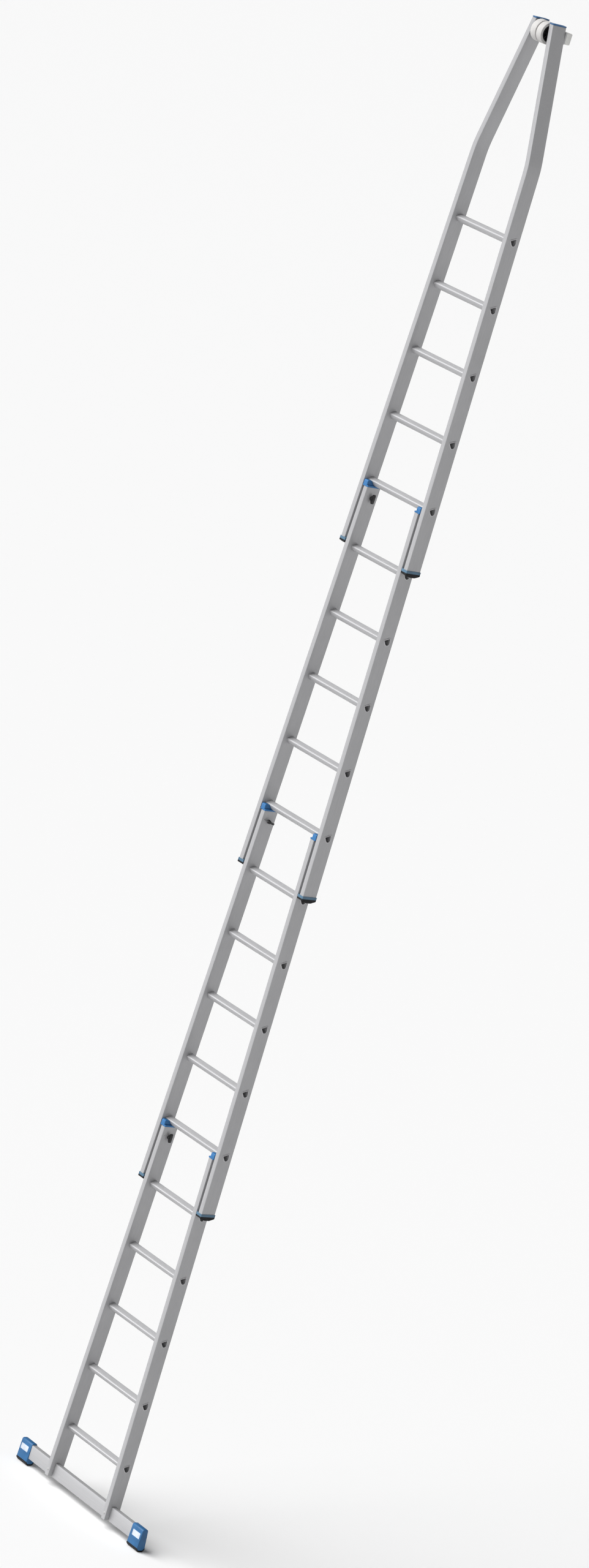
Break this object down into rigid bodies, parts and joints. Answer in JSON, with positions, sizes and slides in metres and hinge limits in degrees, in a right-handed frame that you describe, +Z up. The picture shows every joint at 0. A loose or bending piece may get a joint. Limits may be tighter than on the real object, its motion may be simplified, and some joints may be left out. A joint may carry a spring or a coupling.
{
  "type": "sectional ladder",
  "caption": "Tall ladder of tapering sections plugged end on end, with a wide foot bar in rubber shoes and a pointed tip with rollers and a wall pad.",
  "frame": {"origin": "on the floor, under the middle of the box round the ladder", "axes": "+Z up along the ladder from foot to tip, +X to the climber's right, the climber at -Y, the wall at +Y"},
  "size_m": [0.889, 0.1286, 6.4477],
  "materials": {
    "stile_aluminium": "extruded, satin, lightly worn",
    "rung_aluminium": "extruded, ribbed tread",
    "foot_bar_aluminium": "extruded, dull satin",
    "zinc_steel": "zinc plated",
    "blue_plastic": "moulded, satin",
    "black_plastic": "moulded",
    "black_rubber": "moulded, matt",
    "pale_rubber": "pale grey, matt"
  },
  "bodies": {
    "section_1": {"stile_1_left": "stile_aluminium", "stile_1_right": "stile_aluminium", "rung_01": "rung_aluminium", "rung_02": "rung_aluminium", "rung_03": "rung_aluminium", "rung_04": "rung_aluminium", "rung_05": "rung_aluminium", "foot_bar": "foot_bar_aluminium", "shoe_left": "blue_plastic", "sole_left": "black_rubber", "foot_bar_rivet_left": "zinc_steel", "shoe_right": "blue_plastic", "sole_right": "black_rubber", "foot_bar_rivet_right": "zinc_steel", "saddle_1_left": "blue_plastic", "saddle_1_right": "blue_plastic"},
    "section_2": {"stile_2_left": "stile_aluminium", "stile_2_right": "stile_aluminium", "rung_06": "rung_aluminium", "rung_07": "rung_aluminium", "rung_08": "rung_aluminium", "rung_09": "rung_aluminium", "rung_10": "rung_aluminium", "foot_2_left": "black_rubber", "foot_2_right": "black_rubber", "saddle_2_left": "blue_plastic", "saddle_2_right": "blue_plastic"},
    "section_3": {"stile_3_left": "stile_aluminium", "stile_3_right": "stile_aluminium", "rung_11": "rung_aluminium", "rung_12": "rung_aluminium", "rung_13": "rung_aluminium", "rung_14": "rung_aluminium", "rung_15": "rung_aluminium", "foot_3_left": "black_rubber", "foot_3_right": "black_rubber", "saddle_3_left": "blue_plastic", "saddle_3_right": "blue_plastic"},
    "section_4": {"stile_4_left": "stile_aluminium", "stile_4_right": "stile_aluminium", "rung_16": "rung_aluminium", "rung_17": "rung_aluminium", "rung_18": "rung_aluminium", "rung_19": "rung_aluminium", "rung_20": "rung_aluminium", "foot_4_left": "black_rubber", "foot_4_right": "black_rubber", "tip_cap_left": "blue_plastic", "tip_cap_right": "blue_plastic", "roller_axle": "zinc_steel", "wall_pad_plate": "stile_aluminium", "wall_pad": "pale_rubber"},
    "wing_screw_1": {"wing_screw_1": "black_plastic"},
    "wing_screw_2": {"wing_screw_2": "black_plastic"},
    "wing_screw_3": {"wing_screw_3": "black_plastic"},
    "roller_left": {"roller_hub_left": "black_plastic", "roller_tyre_left": "pale_rubber"},
    "roller_right": {"roller_hub_right": "black_plastic", "roller_tyre_right": "pale_rubber"}
  },
  "joints": [
    {"name": "section_2_lift", "type": "slide", "parent": "section_1", "child": "section_2", "axis": [0, 0, 1], "range_m": [0, 0.3]},
    {"name": "section_3_lift", "type": "slide", "parent": "section_2", "child": "section_3", "axis": [0, 0, 1], "range_m": [0, 0.3]},
    {"name": "section_4_lift", "type": "slide", "parent": "section_3", "child": "section_4", "axis": [0, 0, 1], "range_m": [0, 0.3]},
    {"name": "wing_screw_1_turn", "type": "hinge", "parent": "section_1", "child": "wing_screw_1", "pos_m": [-0.15777, -0.0053, 1.5985], "axis": [1, 0, 0], "continuous": true},
    {"name": "wing_screw_2_turn", "type": "hinge", "parent": "section_2", "child": "wing_screw_2", "pos_m": [-0.15777, -0.0053, 2.9985], "axis": [1, 0, 0], "continuous": true},
    {"name": "wing_screw_3_turn", "type": "hinge", "parent": "section_3", "child": "wing_screw_3", "pos_m": [-0.15777, -0.0053, 4.3985], "axis": [1, 0, 0], "continuous": true},
    {"name": "roller_left_spin", "type": "hinge", "parent": "section_4", "child": "roller_left", "pos_m": [-0.01825, -0.0193, 6.402], "axis": [1, 0, 0], "continuous": true},
    {"name": "roller_right_spin", "type": "hinge", "parent": "section_4", "child": "roller_right", "pos_m": [0.01825, -0.0193, 6.402], "axis": [1, 0, 0], "continuous": true}
  ]
}
